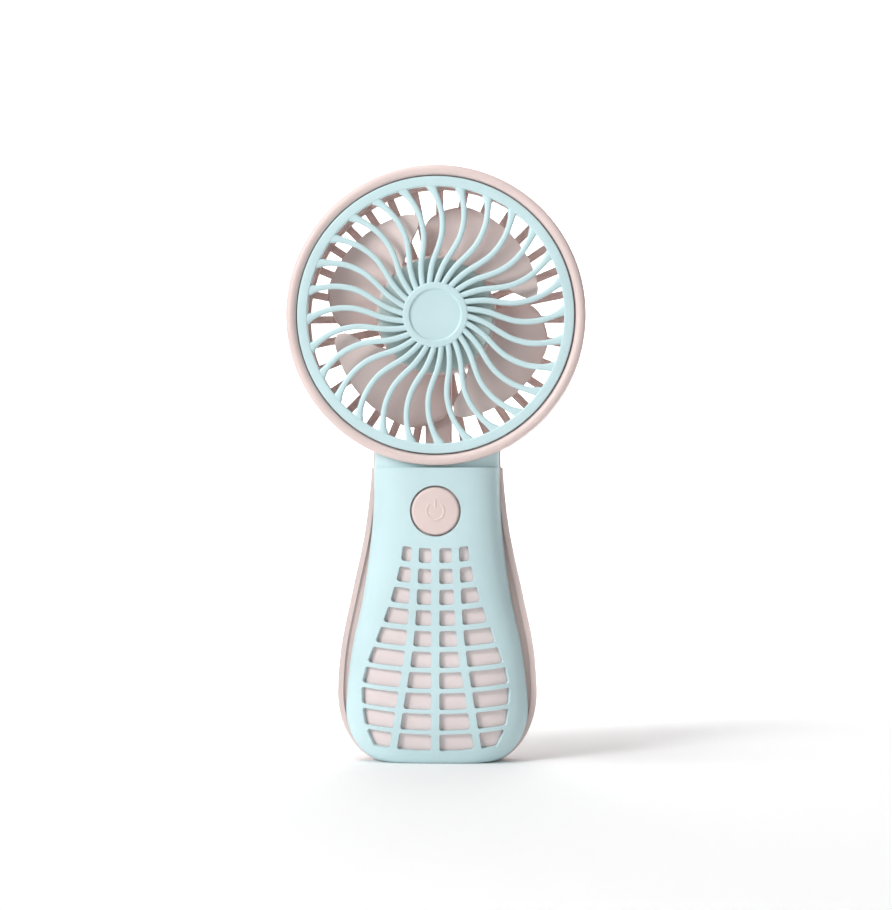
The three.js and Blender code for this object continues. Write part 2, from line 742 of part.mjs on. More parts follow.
function addBackShell() {
  const outside = lobe(shellWidth, handleDepth, 0, 0, HANDLE_TOP);
  const edge = PARTING + GAP / 2;
  const body = unite([outside, neckCollar(NECK_HALF + 0.3)]);
  const room = lobe(shellWidth, handleDepth, SHELL_WALL, SHELL_WALL, NECK_Z);
  const mouth = lobe(coverWidth, handleDepth, COVER_WALL, SHELL_WALL, NECK_Z);
  const flange = edge + FLANGE_DEPTH;
  let shell = cut(body, [
    room.subtract(front(flange)),
    mouth.subtract(behind(flange + 1)),
    front(edge),
    tongueSlot(),
  ]);
  const lower = CASE_SCREWS.slice(2);
  const bosses = lower.map(([x, z]) => pin(CASE_BOSS_R, edge, 12.6, x, z, 20));
  const cell = post(CELL_R + 0.4, 0, NECK_Z, 0, CELL_Y, 40);
  const cradles = [22, 62].map((z) => block(-9.6, 9.6, 4, 12.6, z, z + 1.6).subtract(cell));
  shell = unite([shell, ...bosses, ...cradles]);
  const holes = CASE_SCREWS.flatMap(([x, z]) => [
    pin(CASE_HOLE_R, -FAR, FAR, x, z, 16),
    pin(CASE_SINK_R, CASE_SCREW_SEAT, FAR, x, z, 20),
  ]);
  holes.push(portOutline(USB_WIDTH + 0.7, USB_HEIGHT + 0.7, -1, SHELL_WALL + 1));
  addPiece("handle_back_shell", cut(shell, holes), pink);
}

// A bar along Z with two round sides: the outline of the charging port.
function portOutline(width, depth, z0, z1) {
  const shape = new THREE.Shape();
  const half = width / 2 - depth / 2;
  shape.absarc(half, 0, depth / 2, -Math.PI / 2, Math.PI / 2, false);
  shape.absarc(-half, 0, depth / 2, Math.PI / 2, (3 * Math.PI) / 2, false);
  const bar = new THREE.ExtrudeGeometry(shape, {
    depth: z1 - z0,
    bevelEnabled: false,
    curveSegments: 8,
  });
  return solidOf(bar.translate(0, USB_Y, z0));
}

function addControls() {
  const edge = 0.9;
  const cap = turned(
    [
      [0, BUTTON_FRONT],
      [BUTTON_R - edge, BUTTON_FRONT],
      [BUTTON_R, BUTTON_FRONT + edge],
      [BUTTON_R, -12.1],
      [BUTTON_FLANGE, -12.1],
      [BUTTON_FLANGE, -11.3],
      [3, -11.3],
      [3, BUTTON_BACK],
      [0, BUTTON_BACK],
    ],
    40,
    0,
    BUTTON_Z,
  );
  addPiece("power_button", cap, pink);
  addPiece("switch_plunger", pin(1.7, BUTTON_BACK + GAP, -7.2, 0, BUTTON_Z, 20), black);
  const body = block(-3, 3, -8, BOARD.front - GAP, BUTTON_Z - 3, BUTTON_Z + 3);
  addPiece("switch_body", body.subtract(pin(2.1, -9, -6, 0, BUTTON_Z, 20)), steel);
  const panel = block(
    -BOARD.halfWidth,
    BOARD.halfWidth,
    BOARD.front,
    BOARD.back,
    BOARD.low,
    BOARD.high,
  );
  const holes = BOARD_SCREWS.map(([x, z]) => pin(1.15, -5, 0, x, z, 16));
  addPiece("control_board", cut(panel, holes), board);
  BOARD_SCREWS.forEach(([x, z], i) => {
    const made = screw(BOARD.back + GAP, -8.5, 1.5, 1, 0.75, x, z);
    addPiece("board_screw_" + (i + 1), made, steel);
  });
}

function addPower() {
  addPiece("battery_cell", post(CELL_R, CELL_LOW, CELL_HIGH, 0, CELL_Y, 36), sleeve);
  const high = CELL_HIGH + GAP;
  const low = CELL_LOW - GAP;
  addPiece("battery_tab_top", post(3, high, high + 0.4, 0, CELL_Y, 20), steel);
  addPiece("battery_tab_bottom", post(5, low - 0.4, low, 0, CELL_Y, 24), steel);
  const socket = portOutline(USB_WIDTH, USB_HEIGHT, 0.6, 8).subtract(
    portOutline(USB_WIDTH - 0.6, USB_HEIGHT - 0.6, -1, 7),
  );
  addPiece("usb_shell", socket, steel);
  addPiece("usb_tongue", block(-3.35, 3.35, USB_Y - 0.35, USB_Y + 0.35, 1.6, 6.7), black);
  addPiece("usb_board", block(-8, 8, 4.95, 6.15, 2.4, 9.6), board);
}

function lead(name, points, finish) {
  const path = new THREE.CatmullRomCurve3(points.map((point) => new THREE.Vector3(...point)));
  const section = outlineOf(circle(LEAD_R, 6));
  const steps = 3 * (points.length - 1);
  const wire = new THREE.ExtrudeGeometry(section, {
    steps,
    bevelEnabled: false,
    extrudePath: path,
  });
  addPiece(name, solidOf(wire), finish);
}

function addLeads() {
  const joint = BOARD.back + GAP + LEAD_R; // leads end behind the board, on its solder pads
  for (const [name, side, finish] of [
    ["motor_lead_positive", 1, red],
    ["motor_lead_negative", -1, black],
  ]) {
    const x = 1.6 * side;
    const motor = HEAD_Z - CAN_R - GAP;
    lead(
      name,
      [
        [x, 9.5, motor],
        [x, 9.2, motor - 7],
        [x, 6, motor - 18],
        [x, 5, 106],
        [x, 5, 96],
        [x, 2.5, 91.5],
        [x, joint, 88],
      ],
      finish,
    );
  }
  lead(
    "battery_lead_positive",
    [
      [1.5, 2.2, CELL_HIGH + 2 * GAP + 0.4],
      [2.5, 2, 80],
      [5, joint, 83],
    ],
    red,
  );
  lead(
    "battery_lead_negative",
    [
      [-5.8, 0, 9.5],
      [-9.6, 0, 9.4],
      [-10.8, 0, 14],
      [-10.6, 0, 45],
      [-10.6, 0, 72],
      [-9.6, -0.6, 78.5],
      [-5, joint, 83],
    ],
    black,
  );
  for (const [name, side, finish] of [
    ["usb_lead_positive", 1, red],
    ["usb_lead_negative", -1, black],
  ]) {
    lead(
      name,
      [
        [6.5 * side, 7.1, 7],
        [8.5 * side, 6.9, 10],
        [10.8 * side, 5.2, 17],
        [10.8 * side, 4.6, 45],
        [10.8 * side, 4, 72],
        [9 * side, joint, 84.5],
      ],
      finish,
    );
  }
}

function addScrews() {
  [-MOTOR_SCREW_X, MOTOR_SCREW_X].forEach((x, i) => {
    const made = screw(GRILLE_FACE - 1.1, 8.9, 1.9, 0.9, 0.95, x, HEAD_Z);
    addPiece("motor_screw_" + (i + 1), made, steel);
  });
  CASE_SCREWS.forEach(([x, z], i) => {
    const seat = CASE_SCREW_SEAT + GAP;
    const made = screw(seat, CASE_SCREW_TIP, CASE_HEAD_R, 1.3, CASE_SCREW_R, x, z);
    addPiece("case_screw_" + (i + 1), made, steel);
  });
}

addRing();
addFrontGrille();
addRearGrille();
addImpeller();
addMotorCase();
addMagnets();
addArmature();
addFrontCover();
addLiner();
addBackShell();
addControls();
addPower();
addLeads();
addScrews();

export default fan;
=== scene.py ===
import json
import math

import bmesh
import bpy
import numpy as np
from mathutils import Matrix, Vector, geometry


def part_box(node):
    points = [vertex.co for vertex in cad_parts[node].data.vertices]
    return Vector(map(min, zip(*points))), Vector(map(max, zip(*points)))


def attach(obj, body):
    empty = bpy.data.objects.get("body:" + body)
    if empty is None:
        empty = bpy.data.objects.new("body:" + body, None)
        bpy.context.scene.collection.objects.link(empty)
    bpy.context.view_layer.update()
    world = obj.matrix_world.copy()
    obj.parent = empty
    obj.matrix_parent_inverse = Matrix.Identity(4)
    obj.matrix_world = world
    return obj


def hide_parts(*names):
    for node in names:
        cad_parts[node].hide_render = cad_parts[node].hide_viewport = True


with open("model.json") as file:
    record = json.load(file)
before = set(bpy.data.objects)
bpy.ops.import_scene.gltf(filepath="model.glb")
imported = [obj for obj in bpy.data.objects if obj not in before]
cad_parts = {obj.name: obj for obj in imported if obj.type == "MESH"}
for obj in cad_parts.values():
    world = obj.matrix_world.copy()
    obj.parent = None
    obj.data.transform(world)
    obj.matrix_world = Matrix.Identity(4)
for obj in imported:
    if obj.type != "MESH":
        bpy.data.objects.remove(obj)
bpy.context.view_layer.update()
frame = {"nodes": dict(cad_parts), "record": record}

# A handheld fan. Shapes are worked out in millimetres and written to the meshes in metres.
MM = 0.001


def span(node):
    """The lowest and highest corner of a CAD node, in millimetres."""
    low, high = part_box(node)
    return low / MM, high / MM


# Places and sizes taken from the frame.
grille_low, grille_high = span("front_grille")
ring_low, ring_high = span("head_ring")
impeller_front = span("impeller")[0].y
cap_low, cap_high = span("impeller_hub_cap")
button_low, button_high = span("power_button")
port_low, port_high = span("usb_shell")
liner_low, liner_high = span("window_liner")

HEAD_Z = (grille_low.z + grille_high.z) / 2
RING_OUTER = ring_high.x
RING_INNER = RING_OUTER - 3.5
RING_HALF_DEPTH = 15.0
STOP_INNER = RING_OUTER - 4.8
STOP_THICK = 1.5
TONGUE_HALF = 11.5
TONGUE_DEPTHS, FOOT_DEPTHS = (-7.0, 9.0), (-8.5, 10.5)  # y from, y to
TONGUE_START, FOOT_TOP = 2.0, 2.2  # above the lowest point of the tongue's foot
GRILLE_OUTER = grille_high.x
GRILLE_INNER = GRILLE_OUTER - 3.3
REAR_INNER = GRILLE_OUTER - 1.7
GRILLE_FACE = -grille_low.y
GRILLE_RIM = grille_high.y - grille_low.y
RING_SIDES, GRILLE_SIDES, HUB_SIDES = 160, 168, 96  # flat sides of the turned pieces

FRONT_RIBS = 28
FRONT_RIB_WIDTH = 1.95
FRONT_RIB_PHASE = 11.2
FRONT_RIB_DEPTH = 2.2
RIB_FLARE, RIB_FLARE_LENGTH = 0.85, 1.4  # each front rib widens into the rim
FRONT_HUB = 10.9
FRONT_DISH = 8.7
FRONT_DISH_DEPTH = 0.65
REAR_RIBS = 32
REAR_RIB_WIDTH = 2.7
REAR_HUB = 19.5
MOTOR_CUP = (12.5, 14.0, 3.0)
MOTOR_SCREW_X = 8.0
DUCT_HALF, DUCT_WALL, DUCT_FRONT = 4.4, 1.0, 2.9

BLADES = 4
BLADE_FRONT, BLADE_BACK = -8.8, 1.0
BLADE_THICK = 1.2
BLADE_ROWS, BLADE_COLUMNS = 22, 34
BLADE_PEAK, BLADE_TAIL = 38.6, 35.1
HUB_OUTER, HUB_WALL = 20.0, 1.4
HUB_FRONT, HUB_BACK = impeller_front, 1.5

HANDLE_TOP = 98.7
SQUARENESS = 3.4
PARTING = -4.0
SEAM = 0.15
COVER_WALL, SHELL_WALL = 1.4, 1.8
BASE_WIDTH, BASE_DEPTH, HANDLE_DEPTH = 17.5, 10.5, 14.0
COVER_CORNER, SHELL_CORNER = 18.0, 24.0
NECK_HALF, NECK_DEPTH = 21.2, 11.8
NECK_CLEAR = 0.04
NECK_START = 6  # how far below the handle's top the neck pieces begin
CASE_SCREWS = [
    ((low.x + high.x) / 2, (low.z + high.z) / 2)
    for low, high in (span("case_screw_%d" % number) for number in (1, 2, 3, 4))
]
CASE_SINK_R, CASE_HOLE_R, CASE_SINK_Y = 2.2, 1.5, 0.4
SEAT_WALL, SEAT_BELOW, SEAT_START = 1.2, 0.7, 0.4
FLANGE_LOW, FLANGE_SHORT = 3.0, 5.0
FLANGE_FRONT, FLANGE_BACK = 1.1, 2.4  # behind the parting plane
BUTTON_Z = (button_low.z + button_high.z) / 2
BUTTON_HOLE = 8.5
BUTTON_R = 7.9
BUTTON_FLANGE = button_high.x
FLANGE_Y = (-12.1, -11.3)  # front and back of the button's flange
BUTTON_STEM_R = 3
SYMBOL_R, SYMBOL_LIFT = 2.9, 0.06
SYMBOL_FROM, SYMBOL_SWEEP = 38, 284  # degrees of the power symbol's open circle
STROKE_LOW, STROKE_LENGTH = 0.9, 3.1

WINDOW_ROWS = 10
WINDOW_TOP = 71.9
WINDOW_PITCH = 6.88
WINDOW_HEIGHTS = (4.9, 5.8)
WINDOW_CORNER = 0.85
CENTRE_BAR_HALF, SIDE_BAR_HALF = 1.35, 1.2
WINDOW_RISE = 1.9
LINER_INSET, LINER_THICK = COVER_WALL + 0.3, 1.2
LINER_ROWS, LINER_COLUMNS = 70, 48
GRID = 1.35  # spacing of the points that carry a curved shell's surface

LIGHT_AIM = (0, 0, 0.1)
LIGHTS = (  # name, place and aim in metres, size in metres, power in watts
    ("key", (-1.0, -1.0, 0.8), LIGHT_AIM, 0.6, 15.2),
    ("top", (-0.3, -0.2, 1.3), LIGHT_AIM, 0.6, 6),
    ("backdrop", (0, 0.45, 1.1), (0, 1.5, 0.75), 1.4, 40),
)
AIR_STRENGTH = 0.25
CAMERA_DISTANCE, CAMERA_AZIMUTH = 760, 3.0
CAMERA_AIM = (3.6, -14.5, 102.9)
SENSOR, VIEW_WIDTH = 36, 302  # the view is 302 mm wide at the camera's aim


# Curves and outlines.

def smooth_through(points):
    """A smooth curve of value against position through a few points."""
    places = [p for p, _ in points]
    values = [v for _, v in points]
    last = len(points) - 1

    def slope(i):
        before, after = max(i - 1, 0), min(i + 1, last)
        return (values[after] - values[before]) / (places[after] - places[before])

    def value(place):
        place = min(max(place, places[0]), places[-1])
        i = max(k for k in range(last) if places[k] <= place)
        step = places[i + 1] - places[i]
        t = (place - places[i]) / step
        rise = values[i + 1] - values[i]
        a = slope(i) * step - rise
        b = rise - slope(i + 1) * step
        return values[i] + t * rise + t * (1 - t) * ((1 - t) * a + t * b)

    return value


cover_sides = smooth_through(
    [(0, 30.7), (20, 30.7), (38, 28.7), (55, 25.1), (75, 22.3), (88, 21.4), (101, 21.3)]
)
shell_sides = smooth_through(
    [(0, 33.6), (23, 33.6), (38, 32.5), (55, 29.1), (75, 24.8), (88, 23), (101, 21.9)]
)
window_reach = smooth_through(
    [(4, 20.6), (10, 23.4), (17, 24.6), (24, 24.9), (31, 23.3), (38, 20.7), (48, 16.9),
     (58, 13.7), (67, 11.5), (75, 10.6)]
)
side_bar = smooth_through([(4, 14.2), (20, 11.6), (42, 8.3), (70, 6.6)])
rib_sweep = smooth_through(
    [(9, -11), (10.8, -8.6), (13.9, -5), (18, -0.6), (22, 3.7), (26.2, 6.1), (30.3, 6.2),
     (34.4, 5), (38.5, 2.8), (42.8, 0), (46, -2)]
)


def corner_at(z, height):
    below = 1 - min(z, height) / height
    return math.sqrt(max(0.0, 1 - below * below))


def cover_width(z):
    return BASE_WIDTH + (cover_sides(z) - BASE_WIDTH) * corner_at(z, COVER_CORNER)


def shell_width(z):
    return BASE_WIDTH + (shell_sides(z) - BASE_WIDTH) * corner_at(z, SHELL_CORNER)


def handle_depth(z):
    return BASE_DEPTH + (HANDLE_DEPTH - BASE_DEPTH) * corner_at(z, COVER_CORNER)


def polar(radius, degrees):
    """A point of the head's face, clockwise from the top seen from the front."""
    turn = math.radians(degrees)
    return radius * math.sin(turn), radius * math.cos(turn)


def anticlockwise(outline):
    pairs = zip(outline, outline[1:] + outline[:1])
    area = sum(a[0] * b[1] - b[0] * a[1] for a, b in pairs)
    return outline if area > 0 else outline[::-1]


def circle(radius, count, x=0.0, z=0.0):
    return [
        (x + radius * math.cos(2 * math.pi * i / count), z + radius * math.sin(2 * math.pi * i / count))
        for i in range(count)
    ]


def rectangle(half, low, high):
    return [(-half, low), (half, low), (half, high), (-half, high)]


def rounded_outline(corners, radius, steps=5, longest=1.3):
    """A closed outline with each corner rounded and its long sides divided."""
    points = []
    count = len(corners)
    for i in range(count):
        here = Vector(corners[i])
        before = (Vector(corners[i - 1]) - here).normalized()
        after = (Vector(corners[(i + 1) % count]) - here).normalized()
        half = math.acos(max(-1, min(1, before.dot(after)))) / 2
        reach = radius / math.tan(half)
        centre = here + (before + after).normalized() * (radius / math.sin(half))
        start, end = here + before * reach - centre, here + after * reach - centre
        sweep = start.angle_signed(end)
        for k in range(steps + 1):
            turn = -sweep * k / steps
            cos, sin = math.cos(turn), math.sin(turn)
            turned = Vector((start.x * cos - start.y * sin, start.x * sin + start.y * cos))
            points.append(centre + turned)
    outline = []
    for i, point in enumerate(points):
        outline.append(tuple(point))
        following = points[(i + 1) % len(points)]
        extra = int((following - point).length / longest)
        for k in range(1, extra + 1):
            outline.append(tuple(point.lerp(following, k / (extra + 1))))
    return outline


# Meshes.

class Build:
    """Vertices and faces gathered in millimetres."""

    def __init__(self):
        self.verts = []
        self.faces = []

    def add(self, verts, faces):
        start = len(self.verts)
        self.verts += [tuple(v) for v in verts]
        self.faces += [tuple(start + i for i in face) for face in faces]

    def lathe(self, profile, sides, x=0.0, z=HEAD_Z, closed=False):
        """Turns [radius, y] points about an axis along Y. Points on the axis become one vertex."""
        verts, rings = [], []
        for radius, y in profile:
            if radius < 1e-6:
                rings.append([len(verts)])
                verts.append((x, y, z))
            else:
                rings.append(list(range(len(verts), len(verts) + sides)))
                verts += [(x + a, y, z + b) for a, b in circle(radius, sides)]
        faces = []
        pairs = list(zip(rings, rings[1:])) + ([(rings[-1], rings[0])] if closed else [])
        for one, two in pairs:
            for i in range(sides):
                j = (i + 1) % sides
                face = [one[i % len(one)], one[j % len(one)], two[j % len(two)], two[i % len(two)]]
                face = list(dict.fromkeys(face))
                if len(face) > 2:
                    faces.append(face)
        self.add(verts, faces)

    def sweep(self, path, section_at):
        """A closed bar along a path in an XZ plane: its sections are [across, y] points."""
        verts, faces = [], []
        count = len(section_at(0))
        for i, point in enumerate(path):
            ahead, behind = path[min(i + 1, len(path) - 1)], path[max(i - 1, 0)]
            along = Vector((ahead[0] - behind[0], ahead[2] - behind[2])).normalized()
            for across, y in section_at(i):
                verts.append((point[0] + along.y * across, point[1] + y, point[2] - along.x * across))
        for i in range(len(path) - 1):
            for k in range(count):
                m = (k + 1) % count
                faces.append((i * count + k, i * count + m, (i + 1) * count + m, (i + 1) * count + k))
        faces.append(tuple(range(count)))
        faces.append(tuple(range((len(path) - 1) * count, len(path) * count)))
        self.add(verts, faces)

    def grid(self, rows):
        """A surface through rows of points, all rows of one length."""
        count = len(rows[0])
        faces = [
            (i * count + k, i * count + k + 1, (i + 1) * count + k + 1, (i + 1) * count + k)
            for i in range(len(rows) - 1)
            for k in range(count - 1)
        ]
        self.add([point for row in rows for point in row], faces)

    def filled(self, outer, holes, place, spacing=GRID):
        """Fills a flat outline round its holes with even triangles, then puts each point in place."""
        rings = [anticlockwise(ring) for ring in (outer, *holes)]
        edge = np.array([p for ring in rings for p in ring])
        low, high = edge.min(0), edge.max(0)
        inside = []
        row = 0
        v = low[1] + spacing * 0.6
        while v < high[1]:
            u = low[0] + spacing * (0.6 if row % 2 else 1.1)
            while u < high[0]:
                inside.append((u, v))
                u += spacing
            v += spacing * 0.87
            row += 1
        inside = np.array(inside)
        if len(inside):
            away = np.full(len(inside), 1e9)
            for p in edge:
                away = np.minimum(away, np.hypot(inside[:, 0] - p[0], inside[:, 1] - p[1]))
            inside = inside[away > spacing * 0.62]
        coords = [Vector(p) for p in edge] + [Vector(p) for p in inside]
        loops, start = [], 0
        for ring in rings:
            loops.append(list(range(start, start + len(ring))))
            start += len(ring)
        made = geometry.delaunay_2d_cdt(coords, [], loops, 1, 1e-5)
        kept = [face for face, owners in zip(made[2], made[5]) if list(owners) == [0]]
        self.add([place(p.x, p.y) for p in made[0]], kept)

    def object(self, name):
        mesh = bpy.data.meshes.new(name)
        mesh.from_pydata([tuple(c * MM for c in v) for v in self.verts], [], self.faces)
        bm = bmesh.new()
        bm.from_mesh(mesh)
        bmesh.ops.remove_doubles(bm, verts=bm.verts, dist=0.01 * MM)
        loose = [v for v in bm.verts if not v.link_faces]
        bmesh.ops.delete(bm, geom=loose, context="VERTS")
        bmesh.ops.recalc_face_normals(bm, faces=bm.faces)
        bm.to_mesh(mesh)
        bm.free()
        mesh.shade_smooth()
        made = bpy.data.objects.new(name, mesh)
        bpy.context.scene.collection.objects.link(made)
        return made


def thicken(piece, thickness, outward):
    """Gives an open surface a wall on its inner side; outward is a direction its middle faces."""
    mesh = piece.data
    total = sum((p.normal * p.area for p in mesh.polygons), Vector())
    if total.dot(Vector(outward)) < 0:
        mesh.flip_normals()
    wall = piece.modifiers.new("wall", "SOLIDIFY")
    wall.thickness = thickness * MM
    wall.offset = -1
    wall.use_even_offset = False


def soften(piece, width, angle=35, segments=3):
    """Rounds the sharp edges of a moulding and keeps its faces smooth."""
    bevel = piece.modifiers.new("soft_edges", "BEVEL")
    bevel.width = width * MM
    bevel.segments = segments
    bevel.limit_method = "ANGLE"
    bevel.angle_limit = math.radians(angle)
    bevel.use_clamp_overlap = True
    normal = piece.modifiers.new("even_normals", "WEIGHTED_NORMAL")
    normal.weight = 60


def settle(piece, slot, body="body", nodes=()):
    """Gives a piece its material and body, and hides the CAD nodes that it stands for."""
    piece.data.materials.clear()
    piece.data.materials.append(MATERIALS[slot])
    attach(piece, body)
    if nodes:
        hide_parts(*nodes)


# Materials.

def linear(colour):
    return tuple((c / 12.92 if c <= 0.04045 else ((c + 0.055) / 1.055) ** 2.4) for c in colour)


def node(tree, kind, **inputs):
    made = tree.nodes.new(kind)
    for name, value in inputs.items():
        made.inputs[name.replace("_", " ")].default_value = value
    return made


def noise(tree, coordinate, scale, detail=3.0, roughness=0.5):
    made = node(tree, "ShaderNodeTexNoise", Scale=scale, Detail=detail, Roughness=roughness)
    tree.links.new(coordinate, made.inputs["Vector"])
    return made.outputs["Fac"]


def ramp(tree, fac, low, high):
    """A number that runs from low to high as fac runs from 0.3 to 0.7."""
    made = tree.nodes.new("ShaderNodeMapRange")
    made.inputs["From Min"].default_value = 0.3
    made.inputs["From Max"].default_value = 0.7
    made.inputs["To Min"].default_value = low
    made.inputs["To Max"].default_value = high
    tree.links.new(fac, made.inputs["Value"])
    return made.outputs["Result"]


def colour_between(tree, shader, fac, one, two):
    """The shader's colour runs from one to two as fac runs from 0 to 1."""
    made = tree.nodes.new("ShaderNodeMix")
    made.data_type = "RGBA"
    tree.links.new(fac, made.inputs[0])
    made.inputs[6].default_value = (*one, 1)
    made.inputs[7].default_value = (*two, 1)
    tree.links.new(made.outputs[2], shader.inputs["Base Color"])


def start_material(name):
    material = bpy.data.materials.new(name)
    material.use_nodes = True
    tree = material.node_tree
    shader = tree.nodes["Principled BSDF"]
    place = tree.nodes.new("ShaderNodeTexCoord").outputs["Object"]
    return material, tree, shader, place


def bump(tree, shader, height, distance, strength=1.0):
    made = node(tree, "ShaderNodeBump", Strength=strength, Distance=distance * MM)
    tree.links.new(height, made.inputs["Height"])
    tree.links.new(made.outputs["Normal"], shader.inputs["Normal"])


def moulded_plastic(name, colour, roughness=(0.36, 0.5), tint=0.03, grain=0.03):
    """Satin moulded plastic: a fine spark-eroded grain, slow tint drift and uneven gloss."""
    material, tree, shader, place = start_material(name)
    deep = linear([c * (1 - tint) for c in colour])
    light = linear([min(1, c * (1 + tint * 0.4)) for c in colour])
    drift = ramp(tree, noise(tree, place, 38, 2), 0, 1)
    colour_between(tree, shader, drift, light, deep)
    cloud = ramp(tree, noise(tree, place, 260, 4), *roughness)
    tree.links.new(cloud, shader.inputs["Roughness"])
    bump(tree, shader, noise(tree, place, 1500, 6, 0.66), grain)
    shader.inputs["IOR"].default_value = 1.46
    return material


def metal(name, colour, roughness, stretch=(1, 1, 1), scale=900, grain=0.01):
    """Metal with fine tool marks, drawn out along one direction."""
    material, tree, shader, place = start_material(name)
    mapping = tree.nodes.new("ShaderNodeMapping")
    mapping.inputs["Scale"].default_value = stretch
    tree.links.new(place, mapping.inputs["Vector"])
    marks = noise(tree, mapping.outputs["Vector"], scale, 5, 0.7)
    dark = linear([c * 0.86 for c in colour])
    colour_between(tree, shader, ramp(tree, marks, 0, 1), linear(colour), dark)
    tree.links.new(ramp(tree, marks, roughness * 0.8, roughness * 1.25), shader.inputs["Roughness"])
    shader.inputs["Metallic"].default_value = 1
    bump(tree, shader, marks, grain)
    return material


def stacked_iron(name, colour):
    """Sheets of iron, one behind another."""
    material, tree, shader, place = start_material(name)
    wave = node(tree, "ShaderNodeTexWave", Scale=320, Distortion=0.2, Detail=1.0)
    wave.bands_direction = "Y"
    tree.links.new(place, wave.inputs["Vector"])
    dark = linear([c * 0.6 for c in colour])
    colour_between(tree, shader, wave.outputs["Fac"], dark, linear(colour))
    shader.inputs["Metallic"].default_value = 1
    shader.inputs["Roughness"].default_value = 0.45
    bump(tree, shader, wave.outputs["Fac"], 0.05)
    return material


def circuit_board(name, colour):
    """Solder mask over a grid of copper tracks."""
    material, tree, shader, place = start_material(name)
    brick = node(tree, "ShaderNodeTexBrick", Scale=420, Mortar_Size=0.035)
    brick.inputs["Color1"].default_value = (*linear(colour), 1)
    brick.inputs["Color2"].default_value = (*linear([c * 0.9 for c in colour]), 1)
    brick.inputs["Mortar"].default_value = (*linear([min(1, c * 1.5) for c in colour]), 1)
    swap = tree.nodes.new("ShaderNodeMapping")
    swap.inputs["Rotation"].default_value = (math.pi / 2, 0, 0)
    tree.links.new(place, swap.inputs["Vector"])
    tree.links.new(swap.outputs["Vector"], brick.inputs["Vector"])
    tree.links.new(brick.outputs["Color"], shader.inputs["Base Color"])
    tree.links.new(ramp(tree, noise(tree, place, 600), 0.25, 0.4), shader.inputs["Roughness"])
    bump(tree, shader, brick.outputs["Fac"], 0.03)
    return material


MINT = (0.798, 0.902, 0.916)
PINK = (0.905, 0.825, 0.808)
MATERIALS = {
    "mint_plastic": moulded_plastic("mint_plastic", MINT),
    "pink_plastic": moulded_plastic("pink_plastic", PINK),
    "liner_plastic": moulded_plastic("liner_plastic", (0.94, 0.875, 0.87), (0.5, 0.62)),
    # cap_plastic is the mint made greyer and duller for the hub cap: partly the cap's own tone, partly
    # painted shade from the front grille's ribs over it
    "cap_plastic": moulded_plastic("cap_plastic", (0.79, 0.835, 0.82), (0.4, 0.52)),
    "steel": metal("steel", (0.74, 0.75, 0.76), 0.32, (1, 6, 1)),
    "magnet": moulded_plastic("magnet", (0.22, 0.22, 0.24), (0.6, 0.8), 0.2, 0.05),
    "iron": stacked_iron("iron", (0.56, 0.57, 0.58)),
    "copper": metal("copper", (0.76, 0.46, 0.29), 0.3, (1, 1, 9), 500, 0.05),
    "brass": metal("brass", (0.80, 0.67, 0.40), 0.38),
    "carbon": moulded_plastic("carbon", (0.14, 0.14, 0.15), (0.6, 0.85), 0.25, 0.05),
    "nylon": moulded_plastic("nylon", (0.90, 0.89, 0.86), (0.4, 0.55)),
    "circuit_board": circuit_board("circuit_board", (0.17, 0.42, 0.27)),
    "black_plastic": moulded_plastic("black_plastic", (0.12, 0.12, 0.13), (0.4, 0.55), 0.2),
    "battery_sleeve": moulded_plastic("battery_sleeve", (0.31, 0.56, 0.71), (0.18, 0.28), 0.05, 0.004),
    "red_wire": moulded_plastic("red_wire", (0.70, 0.19, 0.17), (0.3, 0.42), 0.08),
    "black_wire": moulded_plastic("black_wire", (0.12, 0.12, 0.13), (0.3, 0.42), 0.2),
}


# Head.

def arc_points(centre, radius, start, end, steps):
    """Points of an arc in the [radius, y] plane, angles in degrees from the outward direction."""
    return [
        (
            centre[0] + radius * math.cos(math.radians(start + (end - start) * i / steps)),
            centre[1] + radius * math.sin(math.radians(start + (end - start) * i / steps)),
        )
        for i in range(steps + 1)
    ]


def rounded_box_profile(inner, outer, front, back, radius, steps=4):
    """A closed [radius, y] profile of a flat ring with rounded edges."""
    return (
        arc_points((outer - radius, back - radius), radius, 0, 90, steps)
        + arc_points((inner + radius, back - radius), radius, 90, 180, steps)
        + arc_points((inner + radius, front + radius), radius, 180, 270, steps)
        + arc_points((outer - radius, front + radius), radius, 270, 360, steps)
    )


def make_ring():
    lip = (RING_OUTER - RING_INNER) / 2
    middle = (RING_OUTER + RING_INNER) / 2
    end = RING_HALF_DEPTH - lip
    seat = GRILLE_FACE - GRILLE_RIM - 0.3
    half = arc_points((middle, end), lip, 0, 180, 14)
    half += [(RING_INNER, seat + 0.3), (RING_INNER - 0.25, seat), (STOP_INNER, seat)]
    half += [(STOP_INNER, seat - STOP_THICK), (RING_INNER, seat - STOP_THICK)]
    waist = [(RING_OUTER, end * share) for share in (-0.5, 0, 0.5)]
    other = [(radius, -y) for radius, y in reversed(half)]
    build = Build()
    build.lathe(other + waist + half, RING_SIDES, closed=True)
    tongue_low, tongue_high = ring_low.z, HEAD_Z - RING_INNER - 1.7
    for (front, back), low, high in (
        (TONGUE_DEPTHS, tongue_low + TONGUE_START, tongue_high),
        (FOOT_DEPTHS, tongue_low, tongue_low + FOOT_TOP),
    ):
        corners = rounded_outline(rectangle(TONGUE_HALF, front, back), 1.0, 3, 30)
        verts = [(x, y, z) for z in (low, high) for x, y in corners]
        count = len(corners)
        sides = [(i, (i + 1) % count, count + (i + 1) % count, count + i) for i in range(count)]
        build.add(verts, sides + [tuple(range(count)), tuple(range(count, 2 * count))])
    ring = build.object("head_ring_fine")
    soften(ring, 0.15, 50, 2)
    settle(ring, "pink_plastic", nodes=["head_ring"])


